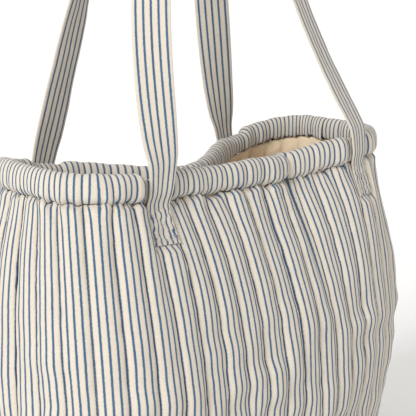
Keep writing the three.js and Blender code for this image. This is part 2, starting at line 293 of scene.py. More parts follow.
def unit(vectors):
    return vectors / np.maximum(np.linalg.norm(vectors, axis=-1, keepdims=True), 1e-12)


def wall_normal(side, u, v):
    """Outward direction of the wall."""
    low = np.maximum(u - TINY, 0)
    high = np.minimum(u + TINY, 1)
    along = wall_point(side, high, v) - wall_point(side, low, v)
    along[(low == 0) | (high == 1), 0] = 0
    up = wall_point(side, u, np.minimum(v + TINY, 1)) - wall_point(side, u, np.maximum(v - TINY, 0))
    return unit(np.cross(along, up) * -side)


def level_normal(side, u, spread=0.0):
    """Outward direction in plan at the mouth, evened out over a spread of the wall."""
    reach = spread * smooth(0.0, 0.05, u) * smooth(0.0, 0.05, 1 - u)
    normal = sum(wall_normal(side, u + reach * part, np.ones_like(u)) for part in (-1, -0.5, 0, 0.5, 1))
    normal[..., 2] = 0
    return unit(normal)


def share_at(side, x):
    """Share along the wall where the mouth has a given x."""
    places = np.linspace(0, 1, 2001)
    return float(np.interp(x, wall_point(side, places, np.ones_like(places))[:, 0], places))


LEG_SHARES = {side: [share_at(side, end * LEG_SPACING / 2) for end in (-1, 1)] for side in (FRONT, BACK)}


# ---------------------------------------------------------------- the quilting

def quilt_at(side, u, v, sizes):
    """Puff of the quilting from 0 on a row of stitches to 1 between rows, with its creases."""
    channel = u * sizes.channels
    place = channel - np.floor(channel)
    distance = np.minimum(place, 1 - place) * HALF_GIRTH / sizes.channels
    along = v * SEAM_HEIGHT
    fullness = 0.85 + 0.25 * noise(np.floor(channel) + 0.5, along / 0.07, 11 + side)
    puff = (4 * place * (1 - place)) ** 0.55 * fullness
    seed = 40 + 7 * side
    pucker = 0.10 * noise(u * HALF_GIRTH / 0.004, along / 0.006, seed) * np.exp(-distance / 0.005)
    wrinkle = 0.14 * noise(u * HALF_GIRTH / 0.012, along / 0.017, seed + 1) * np.exp(-distance / 0.012)
    billow = 0.22 * noise(u * HALF_GIRTH / 0.055, along / 0.045, seed + 2)
    return puff + pucker + wrinkle + billow * puff


def gather_at(side, u, distance):
    """Puckers of the gathered cloth beside the hem's seam: out of the surface, up, and along the seam."""
    s = u * HALF_GIRTH
    fixed = np.full_like(s, 0.37)
    close = np.exp(-distance / PUCKER_REACH)
    far = np.exp(-distance / GATHER_REACH) * smooth(-0.002, 0.003, distance)
    out = PUCKER_DEPTH * noise(s / PUCKER_PITCH, fixed, 61 + side) * close
    out = out + GATHER_DEPTH * noise(s / 0.0080, distance / 0.03, 60 + side) * far
    up = PUCKER_RISE * noise(s / PUCKER_PITCH, fixed + 7, 62 + side) * close
    aside = PUCKER_SHIFT * noise(s / 0.0065, fixed + 3, 63 + side) * close
    return out, up, aside


def sewn_down(side, u, v):
    """1 where a strap's end is sewn flat to the wall."""
    patch = beside_leg(side, u, STRAP_WIDTH * 0.45, STRAP_WIDTH * 0.62)
    return patch * (1 - smooth(SEWN_LENGTH * 0.95, SEWN_LENGTH * 1.25, (1 - v) * SEAM_HEIGHT))


def slack(side, u, v):
    """Large soft dents of the standing bag, stronger low down, none at the bottom or the seam."""
    span = smooth(0.0, 0.12, v) * (1 - smooth(0.90, 1.0, v))
    span = span * smooth(0.0, SLACK_FADE, u) * smooth(0.0, SLACK_FADE, 1 - u)
    s = u * HALF_GIRTH
    z = v * SEAM_HEIGHT
    large = 0.0040 * noise(s / 0.13, z / 0.11, 70 + side)
    middle = 0.0034 * noise(s / 0.045, z / 0.020, 80 + side) * (1 - smooth(0.45, 0.80, v))
    return (large + middle) * span


def cover_surface(side, u, v, sizes, depth=0.0):
    """Outer face of the cover, or a face behind it by a depth."""
    flat = 1 - sewn_down(side, u, v)
    from_seam = (1 - v) * SEAM_HEIGHT
    ripple, rise, aside = gather_at(side, u, from_seam)
    share = np.clip(u + aside * flat * smooth(0.0, 0.01, u) * smooth(0.0, 0.01, 1 - u) / HALF_GIRTH, 0, 1)
    puff = quilt_at(side, u, v, sizes)
    near_seam = smooth(-0.004, 0.007, from_seam)
    rim = (STITCH_DEPTH - SEAM_DEPTH) * (1 - smooth(0.0, 0.012, from_seam)) * flat
    near_base = smooth(0.0, 0.010, v * SEAM_HEIGHT)
    lift = sizes.puff * puff * near_seam * near_base * flat
    out = -STITCH_DEPTH + rim + lift + ripple * flat + slack(side, u, v) - depth
    point = wall_point(side, share, v) + wall_normal(side, share, v) * out[..., None]
    point[..., 2] += rise * flat
    return point


def lining_surface(side, u, v, sizes):
    """Inner face of the lining."""
    puff = quilt_at(side, u, v, sizes)
    near_ends = smooth(0.0, 0.012, (1 - v) * SEAM_HEIGHT) * smooth(0.0, 0.010, v * SEAM_HEIGHT)
    out = -LINING_DEPTH - LINING_PUFF * puff * near_ends + slack(side, u, v)
    point = wall_point(side, u, v) + wall_normal(side, u, v) * out[..., None]
    point[..., 2] += INNER_RISE * smooth(0.80, 1.0, v)
    return point


def beside_leg(side, u, flat, fade):
    """1 within a flat half width of each leg, 0 beyond the fade."""
    legs = np.zeros_like(u)
    for share in LEG_SHARES[side]:
        legs = np.maximum(legs, 1 - smooth(flat, fade, np.abs(u - share) * HALF_GIRTH))
    return legs


def hem_surface(side, u, turn, sizes, depth=0.0):
    """Face of the hem's roll: turn runs from the outer seam (0) over the top to the inner seam (1)."""
    angle = -HEM_OPENING + turn * (math.pi + 2 * HEM_OPENING)
    channel = u * sizes.channels
    place = channel - np.floor(channel)
    row = (4 * place * (1 - place)) ** 0.45
    s = u * HALF_GIRTH
    around = turn * 0.08
    full = 0.84 + 0.15 * row + 0.06 * noise(s / 0.040, around / 0.03, 21 + side)
    full = full + 0.035 * noise(s / 0.011, around / 0.05, 22 + side)
    ends = np.minimum(turn, 1 - turn)
    ripple, rise, aside = gather_at(side, u, ends * 0.08)
    legs = beside_leg(side, u, 0.0185, 0.034)
    outer = 1 - smooth(0.35, 0.65, turn)
    half = HEM_HEIGHT / (1 + math.sin(HEM_OPENING))
    reach = HEM_REACH * full * (1 - 0.58 * legs * outer) - depth
    across, up = np.cos(angle), np.sin(angle)
    out = -WALL_THICKNESS / 2 + reach * np.sign(across) * np.abs(across) ** HEM_SQUARENESS
    tall = half * (0.62 + 0.38 * full) - depth
    z = HEM_HEIGHT - half + tall * np.sign(up) * np.abs(up) ** HEM_SQUARENESS
    z = z - 0.004 * legs * np.maximum(up, 0)
    z = z + 0.0022 * noise(s / 0.06, 0.5 * np.ones_like(s), 25 + side) * np.maximum(up, 0)
    tuck = 1 - smooth(0.0, 0.11, ends)
    outside = turn < 0.5
    outer_valley = -SEAM_DEPTH * (1 - legs) - STITCH_DEPTH * legs - depth
    valley = np.where(outside, outer_valley, -LINING_DEPTH + 0.0005 + depth)
    out = out * (1 - tuck) + valley * tuck + ripple * (1 - legs) * np.where(outside, 1, -1)
    z = z * (1 - tuck) + np.where(outside, 0.0004, INNER_RISE + 0.0004) * tuck + rise * (1 - legs)
    u = np.clip(u + aside * (1 - legs) * smooth(0.0, 0.01, u) * smooth(0.0, 0.01, 1 - u) / HALF_GIRTH, 0, 1)
    inside = smooth(0.35, 0.65, turn)[..., None]
    normal = unit(level_normal(side, u) * (1 - inside) + level_normal(side, u, INNER_SPREAD) * inside)
    point = wall_point(side, u, np.ones_like(u)) + normal * out[..., None]
    point[..., 2] += z
    return point


# ---------------------------------------------------------------- meshes

def grid_mesh(name, columns, rows, place, reverse=False, weld=0.0, cap=False):
    """A grid bent by place(u, v), which gives points and UV coordinates; u and v are from 0 to 1."""
    bm = bmesh.new()
    bmesh.ops.create_grid(bm, x_segments=columns, y_segments=rows, size=0.5)
    flat = np.array([vert.co for vert in bm.verts])
    points, uvs = place(np.clip(flat[:, 0] + 0.5, 0, 1), np.clip(flat[:, 1] + 0.5, 0, 1))
    layer = bm.loops.layers.uv.new("UVMap")
    for vert, point in zip(bm.verts, points):
        vert.co = point
    bm.verts.index_update()
    for face in bm.faces:
        for loop in face.loops:
            loop[layer].uv = uvs[loop.vert.index]
    if weld:
        bmesh.ops.remove_doubles(bm, verts=bm.verts, dist=weld)
    if cap:
        bmesh.ops.holes_fill(bm, edges=[edge for edge in bm.edges if edge.is_boundary], sides=0)
        bmesh.ops.recalc_face_normals(bm, faces=bm.faces)
    if reverse:
        bmesh.ops.reverse_faces(bm, faces=bm.faces)
    for face in bm.faces:
        face.smooth = True
    mesh = bpy.data.meshes.new(name)
    bm.to_mesh(mesh)
    bm.free()
    return mesh


def add_piece(name, mesh, material, body, replaced=()):
    """Puts a mesh in the scene as a piece that rides on a body."""
    piece = bpy.data.objects.new(name, mesh)
    bpy.context.scene.collection.objects.link(piece)
    mesh.materials.append(material)
    if body:
        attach(piece, body)
    if replaced:
        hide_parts(*replaced)
    return piece


def give_thickness(piece, thickness):
    """Cloth thickness behind the outer face."""
    solid = piece.modifiers.new("Cloth thickness", "SOLIDIFY")
    solid.thickness = thickness
    solid.offset = -1
    solid.use_even_offset = False


def crowded(channels):
    """Moves evenly spaced shares closer to the rows of quilting."""
    def move(u):
        channel = u * channels
        whole = np.floor(channel)
        part = channel - whole
        return (whole + 0.55 * part + 0.45 * (0.5 - 0.5 * np.cos(math.pi * part))) / channels
    return move


# ---------------------------------------------------------------- materials

def node(tree, kind, place, **values):
    """Adds a shader node and sets its properties."""
    made = tree.nodes.new(kind)
    made.location = place
    for key, value in values.items():
        setattr(made, key, value)
    return made


def set_inputs(made, **values):
    for key, value in values.items():
        made.inputs[key.replace("_", " ")].default_value = value


def new_group(name, inputs, outputs):
    """A shader node group with float, vector or colour sockets, and its end nodes."""
    tree = bpy.data.node_groups.new(name, "ShaderNodeTree")
    for label, kind, default in inputs:
        socket = tree.interface.new_socket(name=label, in_out="INPUT", socket_type=kind)
        if default is not None:
            socket.default_value = default
    for label, kind in outputs:
        tree.interface.new_socket(name=label, in_out="OUTPUT", socket_type=kind)
    start = node(tree, "NodeGroupInput", (-900, 0))
    end = node(tree, "NodeGroupOutput", (900, 0))
    return tree, start, end


def stripe_group():
    """Pinstripes across the cloth's U direction: a mask that is 1 on the dyed warp."""
    tree, start, end = new_group(
        "Warp Stripes",
        [("UV", "NodeSocketVector", None), ("Pitch", "NodeSocketFloat", 0.008),
         ("Width", "NodeSocketFloat", 0.002)],
        [("Mask", "NodeSocketFloat"), ("Halo", "NodeSocketFloat")],
    )
    link = tree.links.new
    split = node(tree, "ShaderNodeSeparateXYZ", (-700, 200))
    link(start.outputs["UV"], split.inputs[0])
    stretch = node(tree, "ShaderNodeVectorMath", (-700, -100), operation="MULTIPLY")
    stretch.inputs[1].default_value = (160, 420, 1)
    link(start.outputs["UV"], stretch.inputs[0])
    waver = node(tree, "ShaderNodeTexNoise", (-520, -100), noise_dimensions="2D")
    set_inputs(waver, Scale=1.0, Detail=2.0)
    link(stretch.outputs[0], waver.inputs["Vector"])
    centred = node(tree, "ShaderNodeMath", (-340, -100), operation="SUBTRACT")
    centred.inputs[1].default_value = 0.5
    link(waver.outputs["Fac"], centred.inputs[0])
    shift = node(tree, "ShaderNodeMath", (-160, -100), operation="MULTIPLY_ADD")
    shift.inputs[1].default_value = 0.0007
    link(centred.outputs[0], shift.inputs[0])
    link(split.outputs["X"], shift.inputs[2])
    share = node(tree, "ShaderNodeMath", (0, 100), operation="DIVIDE")
    link(shift.outputs[0], share.inputs[0])
    link(start.outputs["Pitch"], share.inputs[1])
    nearest = node(tree, "ShaderNodeMath", (160, 100), operation="PINGPONG")
    nearest.inputs[1].default_value = 0.5
    link(share.outputs[0], nearest.inputs[0])
    distance = node(tree, "ShaderNodeMath", (320, 100), operation="MULTIPLY")
    link(nearest.outputs[0], distance.inputs[0])
    link(start.outputs["Pitch"], distance.inputs[1])
    half = node(tree, "ShaderNodeMath", (320, -80), operation="MULTIPLY")
    half.inputs[1].default_value = 0.5
    link(start.outputs["Width"], half.inputs[0])
    for label, reach, row in (("Mask", 1.35, 160), ("Halo", 2.3, -160)):
        edge = node(tree, "ShaderNodeMath", (480, row - 80), operation="MULTIPLY")
        edge.inputs[1].default_value = reach
        link(half.outputs[0], edge.inputs[0])
        inner = node(tree, "ShaderNodeMath", (480, row - 160), operation="MULTIPLY")
        inner.inputs[1].default_value = 0.6
        link(half.outputs[0], inner.inputs[0])
        fade = node(tree, "ShaderNodeMapRange", (660, row), interpolation_type="SMOOTHSTEP")
        set_inputs(fade, To_Min=1.0, To_Max=0.0)
        link(distance.outputs[0], fade.inputs["Value"])
        link(inner.outputs[0], fade.inputs["From Min"])
        link(edge.outputs[0], fade.inputs["From Max"])
        link(fade.outputs["Result"], end.inputs[label])
    return tree


def weave_group():
    """Plain weave: height and tone of crossing yarns with slubs, in metres along the cloth."""
    tree, start, end = new_group(
        "Plain Weave",
        [("UV", "NodeSocketVector", None), ("Threads", "NodeSocketFloat", 1700.0)],
        [("Height", "NodeSocketFloat"), ("Tone", "NodeSocketFloat"), ("Cloud", "NodeSocketFloat")],
    )
    link = tree.links.new
    threads = {}
    for label, scale, row in (("warp", (1.0, 0.045, 1), 300), ("weft", (0.045, 1.0, 1), 60)):
        squeeze = node(tree, "ShaderNodeVectorMath", (-700, row), operation="MULTIPLY")
        squeeze.inputs[1].default_value = scale
        link(start.outputs["UV"], squeeze.inputs[0])
        yarn = node(tree, "ShaderNodeTexNoise", (-500, row), noise_dimensions="2D")
        set_inputs(yarn, Detail=2.0, Roughness=0.6)
        link(squeeze.outputs[0], yarn.inputs["Vector"])
        link(start.outputs["Threads"], yarn.inputs["Scale"])
        threads[label] = yarn
    height = node(tree, "ShaderNodeMath", (-280, 200), operation="MAXIMUM")
    link(threads["warp"].outputs["Fac"], height.inputs[0])
    link(threads["weft"].outputs["Fac"], height.inputs[1])
    link(height.outputs[0], end.inputs["Height"])
    tone = node(tree, "ShaderNodeMath", (-280, 0), operation="ADD")
    link(threads["warp"].outputs["Fac"], tone.inputs[0])
    link(threads["weft"].outputs["Fac"], tone.inputs[1])
    half = node(tree, "ShaderNodeMath", (-120, 0), operation="MULTIPLY")
    half.inputs[1].default_value = 0.5
    link(tone.outputs[0], half.inputs[0])
    link(half.outputs[0], end.inputs["Tone"])
    cloud = node(tree, "ShaderNodeTexNoise", (-500, -240), noise_dimensions="2D")
    set_inputs(cloud, Scale=28.0, Detail=3.0)
    link(start.outputs["UV"], cloud.inputs["Vector"])
    link(cloud.outputs["Fac"], end.inputs["Cloud"])
    return tree


def mix_colours(tree, factor, low, high, place, blend="MIX"):
    """Mixes two colours or colour sockets by a factor socket or number."""
    made = node(tree, "ShaderNodeMix", place, data_type="RGBA", blend_type=blend)
    if isinstance(factor, float):
        made.inputs["Factor"].default_value = factor
    else:
        tree.links.new(factor, made.inputs["Factor"])
    for value, socket in ((low, made.inputs[6]), (high, made.inputs[7])):
        if isinstance(value, bpy.types.NodeSocket):
            tree.links.new(value, socket)
        else:
            socket.default_value = (*value, 1.0)
    return made.outputs[2]


def stretched(tree, value, place, **limits):
    """A value spread over a range."""
    spread = node(tree, "ShaderNodeMapRange", place)
    set_inputs(spread, **limits)
    tree.links.new(value, spread.inputs["Value"])
    return spread.outputs["Result"]


def cloth_material(name, roughness, sheen, threads=1700.0):
    """A matt woven cloth: the material, its tree, its UV, weave and shader nodes."""
    material = bpy.data.materials.new(name)
    material.use_nodes = True
    tree = material.node_tree
    tree.nodes.clear()
    output = node(tree, "ShaderNodeOutputMaterial", (1100, 0))
    shader = node(tree, "ShaderNodeBsdfPrincipled", (800, 0))
    tree.links.new(shader.outputs[0], output.inputs[0])
    shader.inputs["Roughness"].default_value = roughness
    shader.inputs["Sheen Weight"].default_value = sheen
    shader.inputs["Sheen Roughness"].default_value = 0.6
    shader.inputs["Specular IOR Level"].default_value = 0.25
    uv = node(tree, "ShaderNodeUVMap", (-900, 0), uv_map="UVMap")
    weave = node(tree, "ShaderNodeGroup", (-600, -200), node_tree=shared_group("Plain Weave"))
    weave.inputs["Threads"].default_value = threads
    tree.links.new(uv.outputs[0], weave.inputs["UV"])
    bump = node(tree, "ShaderNodeBump", (500, -300))
    set_inputs(bump, Strength=0.55, Distance=0.00025)
    tree.links.new(weave.outputs["Height"], bump.inputs["Height"])
    tree.links.new(bump.outputs[0], shader.inputs["Normal"])
    return material, tree, uv, weave, shader


def shared_group(name):
    """The node group of that name, built the first time."""
    makers = {"Warp Stripes": stripe_group, "Plain Weave": weave_group}
    return bpy.data.node_groups.get(name) or makers[name]()


def darker(colour, share):
    return tuple(channel * share for channel in colour)


def striped_cotton(colours, sizes):
    """Cream ticking with narrow blue stripes, and painted shade darkening the stripe on each row of quilting.
    """
    found = bpy.data.materials.get("Striped cotton")
    if found:
        return found
    cream = tuple(colours.cotton)
    material, tree, uv, weave, shader = cloth_material("Striped cotton", 0.92, 0.12)
    stripes = node(tree, "ShaderNodeGroup", (-600, 200), node_tree=shared_group("Warp Stripes"))
    stripes.inputs["Pitch"].default_value = HALF_GIRTH / sizes.channels / 4
    stripes.inputs["Width"].default_value = sizes.stripe_width
    tree.links.new(uv.outputs[0], stripes.inputs["UV"])
    slub = stretched(tree, weave.outputs["Tone"], (-360, -80), From_Min=0.38, From_Max=0.66)
    ground = mix_colours(tree, slub, darker(cream, 0.90), cream, (-150, 0))
    haze = stretched(tree, weave.outputs["Cloud"], (-360, -300), From_Min=0.35, From_Max=0.75, To_Max=0.22)
    ground = mix_colours(tree, haze, ground, tuple(colours.cotton_shade), (50, 0))
    blue = mix_colours(tree, slub, tuple(colours.stripe_weave_and_valley_shade), tuple(colours.stripe),
                       (-150, 260))
    # Painted shade: the stripe on each row of quilting stitches is mixed towards the darker blue, standing in
    # for the shade that falls in the quilting valleys.
    rows = node(tree, "ShaderNodeGroup", (-600, 450), node_tree=shared_group("Warp Stripes"))
    rows.inputs["Pitch"].default_value = HALF_GIRTH / sizes.channels
    rows.inputs["Width"].default_value = sizes.stripe_width * 1.3
    tree.links.new(uv.outputs[0], rows.inputs["UV"])
    blue = mix_colours(tree, blue_share(tree, rows, "Mask", 0.6), blue, tuple(colours.stripe_weave_and_valley_shade), (50, 300))
    tinted = mix_colours(tree, blue_share(tree, stripes, "Halo", 0.10), ground, blue, (250, 60))
    colour = mix_colours(tree, blue_share(tree, stripes, "Mask", 0.97), tinted, blue, (450, 100))
    tree.links.new(colour, shader.inputs["Base Color"])
    return material


def blue_share(tree, stripes, output, share):
    """A stripe mask scaled to a share."""
    scale = node(tree, "ShaderNodeMath", (250, 300), operation="MULTIPLY")
    scale.inputs[1].default_value = share
    tree.links.new(stripes.outputs[output], scale.inputs[0])
    return scale.outputs[0]


def plain_cotton(name, colour, shade, roughness=0.9):
    """A one-colour woven cotton."""
    found = bpy.data.materials.get(name)
    if found:
        return found
    material, tree, _, weave, shader = cloth_material(name, roughness, 0.1)
    slub = stretched(tree, weave.outputs["Tone"], (-360, -80), From_Min=0.38, From_Max=0.66)
    ground = mix_colours(tree, slub, darker(colour, 0.86), colour, (-100, 0))
    haze = stretched(tree, weave.outputs["Cloud"], (-360, -300), From_Min=0.35, From_Max=0.75, To_Max=0.35)
    tree.links.new(mix_colours(tree, haze, ground, shade, (200, 0)),
                   shader.inputs["Base Color"])
    return material


def object_material(name, colour, shade, scale, roughness):
    """Fibrous material on a piece without a UV map: wadding and thread."""
    found = bpy.data.materials.get(name)
    if found:
        return found
    material = bpy.data.materials.new(name)
    material.use_nodes = True
    tree = material.node_tree
    tree.nodes.clear()
    output = node(tree, "ShaderNodeOutputMaterial", (900, 0))
    shader = node(tree, "ShaderNodeBsdfPrincipled", (600, 0))
    tree.links.new(shader.outputs[0], output.inputs[0])
    shader.inputs["Roughness"].default_value = roughness
    shader.inputs["Sheen Weight"].default_value = 0.2
    place = node(tree, "ShaderNodeTexCoord", (-700, 0))
    fibres = node(tree, "ShaderNodeTexNoise", (-450, 0))
    set_inputs(fibres, Scale=scale, Detail=4.0, Roughness=0.65)
    tree.links.new(place.outputs["Object"], fibres.inputs["Vector"])
    ground = mix_colours(tree, fibres.outputs["Fac"], shade, colour, (0, 100))
    tree.links.new(ground, shader.inputs["Base Color"])
    bump = node(tree, "ShaderNodeBump", (300, -200))
    set_inputs(bump, Strength=0.5, Distance=0.0004)
    tree.links.new(fibres.outputs["Fac"], bump.inputs["Height"])
    tree.links.new(bump.outputs[0], shader.inputs["Normal"])
    return material


def thread_material(colours):
    return object_material("Sewing thread", tuple(colours.thread), darker(colours.thread, 0.7), 4000.0, 0.7)


def wadding_material():
    return object_material("Wadding", (0.88, 0.87, 0.84), (0.74, 0.73, 0.70), 500.0, 1.0)


# ---------------------------------------------------------------- straps

def strap_frames(side, sizes):
    """Middle, width direction and face direction of a strap from one sewn end over the loop to the other."""
    legs = [strap_leg(side, end, sizes) for end in (-1, 1)]
    left, right = legs
    centre = np.concatenate([left[0], right[0][::-1][1:]])
    across = np.concatenate([left[1], right[1][::-1][1:]])
    face = np.concatenate([left[2], right[2][::-1][1:]])
    for _ in range(3):
        for frames in (centre, across, face):
            frames[1:-1] = 0.25 * frames[:-2] + 0.5 * frames[1:-1] + 0.25 * frames[2:]
    across = unit(across)
    face = unit(face - across * np.sum(face * across, axis=1, keepdims=True))
    return centre, across, face


def strap_leg(side, end, sizes):
    """One leg from the lowest stitches of its sewn end to the top of the loop."""
    share = LEG_SHARES[side][0 if end < 0 else 1]
    rows = 14
    down = SEWN_LENGTH * (1 - np.arange(rows) / rows)
    u = np.full(rows, share)
    v = 1 - down / SEAM_HEIGHT
    normal = wall_normal(side, u, v)
    thickness = STRAP_THICKNESS * (1 - END_THINNESS * down / SEWN_LENGTH)
    sewn = cover_surface(side, u, v, sizes) + normal * (thickness * 0.5)[:, None]
    tangent = unit(wall_point(side, u + TINY, v) - wall_point(side, u - TINY, v))
    sewn_across = tangent * -end
    sewn_face = normal * -side
    foot = sewn[-1] * 1.0
    seam = seam_at(np.interp(np.array([share]), SHARES, ANGLES), side)[0]
    other = LEG_SHARES[side][1 if end < 0 else 0]
    other_seam = seam_at(np.interp(np.array([other]), SHARES, ANGLES), side)[0]
    along = np.linspace(0, 1, 110) ** 1.25
    x, rise = loop_curve(side, along)
    standing = side * foot[1] + 0.0040 * smooth(0.0, 0.010, rise)
    above = np.clip((rise - HEM_HEIGHT - FREE_RISE) / (HANDLE_HEIGHT - HEM_HEIGHT - FREE_RISE), 0, 1)
    lean = 1 - (1 - above) ** LEAN_POWER[side, end]
    depth = standing * (1 - lean) + HANDLE_SPACING / 2 * lean
    level = seam * (1 - along) + (seam + other_seam) / 2 * along
    free = np.stack([end * x, side * depth, level + rise], axis=-1)
    yaw = leg_yaw(side, end, above, sewn_across[-1] * -end)
    free_across = np.stack([np.cos(yaw), np.sin(yaw), np.zeros_like(yaw)], axis=-1) * -end
    step = unit(np.gradient(free, axis=0))
    step[-1] = (-end, 0, 0)
    free_face = unit(np.cross(step, free_across)) * end
    sewn_face = sewn_face * np.sign(np.sum(sewn_face[-1] * free_face[0]))
    return [np.concatenate(pair) for pair in ((sewn, free), (sewn_across, free_across),
                                              (sewn_face, free_face))]


def loop_curve(side, t):
    """Distance from the middle and height above the seam along one leg."""
    half = LEG_SPACING / 2
    weights = ((1 - t) ** 3, 3 * t * (1 - t) ** 2, 3 * t * t * (1 - t), t ** 3)
    x = half * weights[0] + (half - LEG_LEAN[side]) * weights[1] + CROWN_REACH * weights[2]
    rise = 0.0015 * weights[0] + LEG_RISE * weights[1] + HANDLE_HEIGHT * (weights[2] + weights[3])
    return x, rise


def leg_yaw(side, end, above, foot_across):
    """Direction of the strap's width in plan: along the wall at the foot, across the bag at the top."""
    start = math.atan2(foot_across[1], foot_across[0])
    turned = above ** (EARLY_TWIST if end * side > 0 else LATE_TWIST[side])
    return start * (1 - turned) + (-end * side * math.pi / 2) * turned


def strap_mesh(name, side, sizes):
    """The folded strap as a flat tube along its frames."""
    centre, across, face = strap_frames(side, sizes)
    lengths = np.concatenate([[0], np.cumsum(np.linalg.norm(np.diff(centre, axis=0), axis=1))])

    def place(u, v):
        at = v * lengths[-1]
        middle, width, out = (
            np.stack([np.interp(at, lengths, frames[:, k]) for k in range(3)], axis=-1)
            for frames in (centre, across, face)
        )
        angle = 2 * math.pi * u
        cosine, sine = np.cos(angle), np.sin(angle)
        from_seam = np.minimum(at, lengths[-1] - at) - SEWN_LENGTH
        w = STRAP_WIDTH / 2 * np.sign(cosine) * np.abs(cosine) ** 0.42
        narrow = 1 - (1 - FOOT_WIDTH) * np.exp(-((from_seam / FOOT_REACH) ** 2))
        t = STRAP_THICKNESS / 2 * np.sign(sine) * np.abs(sine) ** 0.55
        t = t * (1 - END_THINNESS * (1 - smooth(-SEWN_LENGTH, 0.0, from_seam)))
        soft = 0.0008 * noise(at / 0.055, w / 0.02 + 9, 31 + side) + 0.0003 * noise(at / 0.012, w / 0.01, 33)
        crease = -0.0007 * np.exp(-((w / 0.004) ** 2)) * np.sign(t)
        bow = 0.0012 * noise(at / 0.09, np.full_like(at, 3.3), 35 + side) * (w / (STRAP_WIDTH / 2)) ** 2
        sewn = 1 - smooth(-0.004, 0.0, from_seam)
        dent = SEWN_DENT * noise(at / 0.0042, w / 0.0045, 37 + side) * sewn * (sine > 0)
        points = middle + width * (w * narrow)[:, None] + out * (t + soft + crease + bow + dent)[:, None]
        drawn = w + SEWN_SHIFT * noise(at / 0.0036, w / 0.0060, 39 + side) * sewn
        return points, np.stack([drawn, at], axis=-1)

    return grid_mesh(name, STRAP_COLUMNS, STRAP_ROWS, place, weld=WELD, cap=True)


# ---------------------------------------------------------------- rows of stitches

def stitch_shape():
    """One stitch along X, a millimetre long and thick, to be scaled."""
    bm = bmesh.new()
    bmesh.ops.create_cone(bm, cap_ends=True, segments=6, radius1=0.22, radius2=0.22, depth=0.5)
    caps = [face for face in bm.faces if abs(face.normal.z) > 0.9]
    for cap in caps:
        direction = cap.normal.copy()
        made = bmesh.ops.extrude_face_region(bm, geom=[cap])
        ends = [item for item in made["geom"] if isinstance(item, bmesh.types.BMVert)]
        bmesh.ops.translate(bm, verts=ends, vec=direction * 0.22)
        bmesh.ops.scale(bm, verts=ends, vec=(0.45, 0.45, 1.0))
    bmesh.ops.delete(bm, geom=caps, context="FACES_ONLY")
    bmesh.ops.rotate(bm, verts=bm.verts, matrix=Matrix.Rotation(math.pi / 2, 3, "Y"))
    bmesh.ops.recalc_face_normals(bm, faces=bm.faces)
    bm.verts.index_update()
    points = np.array([vert.co for vert in bm.verts])
    faces = [[vert.index for vert in face.verts] for face in bm.faces]
    bm.free()
    return points, faces


def stitch_rows(name, rows, length, thickness):
    """Stitches laid along rows of (points, normals); every other stretch is a gap."""
    shape, faces = stitch_shape()
    points = []
    polygons = []
    for path, normals in rows:
        steps = np.concatenate([[0], np.cumsum(np.linalg.norm(np.diff(path, axis=0), axis=1))])
        count = max(int(steps[-1] / (length * 1.35)), 1)
        at = (np.arange(count) + 0.5) * steps[-1] / count
        middle = np.stack([np.interp(at, steps, path[:, k]) for k in range(3)], axis=-1)
        ahead = np.stack([np.interp(at + 1e-4, steps, path[:, k]) for k in range(3)], axis=-1)
        behind = np.stack([np.interp(at - 1e-4, steps, path[:, k]) for k in range(3)], axis=-1)
        along = unit(ahead - behind)
        out = unit(np.stack([np.interp(at, steps, normals[:, k]) for k in range(3)], axis=-1))
        aside = unit(np.cross(out, along))
        for centre, x_axis, y_axis, z_axis in zip(middle, along, aside, out):
            base = len(points) * len(shape)
            points.append(
                centre
                + np.outer(shape[:, 0] * length, x_axis)
                + np.outer(shape[:, 1] * thickness, y_axis)
                + np.outer(shape[:, 2] * thickness, z_axis)
            )
            polygons.extend([[base + index for index in face] for face in faces])
    mesh = bpy.data.meshes.new(name)
    mesh.from_pydata(np.concatenate(points).tolist(), [], polygons)
    mesh.polygons.foreach_set("use_smooth", np.ones(len(mesh.polygons), bool))
    return mesh


# ---------------------------------------------------------------- properties

class ToteBagSizes(bpy.types.PropertyGroup):
    """Sizes a maker would change."""

    channels: IntProperty(name="Channels", description="Quilted channels in each half of the bag",
                          default=24, min=4, max=60)
    puff: FloatProperty(name="Puff", description="How far the padding lifts the cover between rows",
                        default=0.0066, min=0.0, max=0.02, unit="LENGTH")
    stripe_width: FloatProperty(name="Stripe width", description="Width of one blue stripe",
                                default=0.0024, min=0.0005, max=0.01, unit="LENGTH")
    stitch: FloatProperty(name="Stitch", description="Length of one stitch",
                          default=0.0030, min=0.001, max=0.01, unit="LENGTH")
    thread: FloatProperty(name="Thread", description="Thickness of the sewing thread",
                          default=0.0011, min=0.0002, max=0.003, unit="LENGTH")


def cloth_colour(name, description, default):
    return FloatVectorProperty(name=name, description=description, default=default,
                               subtype="COLOR", size=3, min=0, max=1)


class ToteBagColours(bpy.types.PropertyGroup):
    """Colours of the cloths and the thread."""

    cotton: cloth_colour("Cotton", "Undyed ground of the striped cotton", (0.615, 0.56, 0.475))
    cotton_shade: cloth_colour("Cotton shade", "Darker clouds in the ground", (0.525, 0.46, 0.375))
    stripe: cloth_colour("Stripe", "Blue of the stripes", (0.045, 0.118, 0.225))
    # Blue between the yarns, and also the painted shade on the stripes along the rows of quilting.
    stripe_weave_and_valley_shade: cloth_colour("Stripe shade", "Blue between the yarns", (0.024, 0.066, 0.140))
    lining: cloth_colour("Lining", "Beige of the lining", (0.93, 0.77, 0.56))
    thread: cloth_colour("Thread", "Colour of the sewing thread", (0.60, 0.53, 0.43))


# ---------------------------------------------------------------- operators

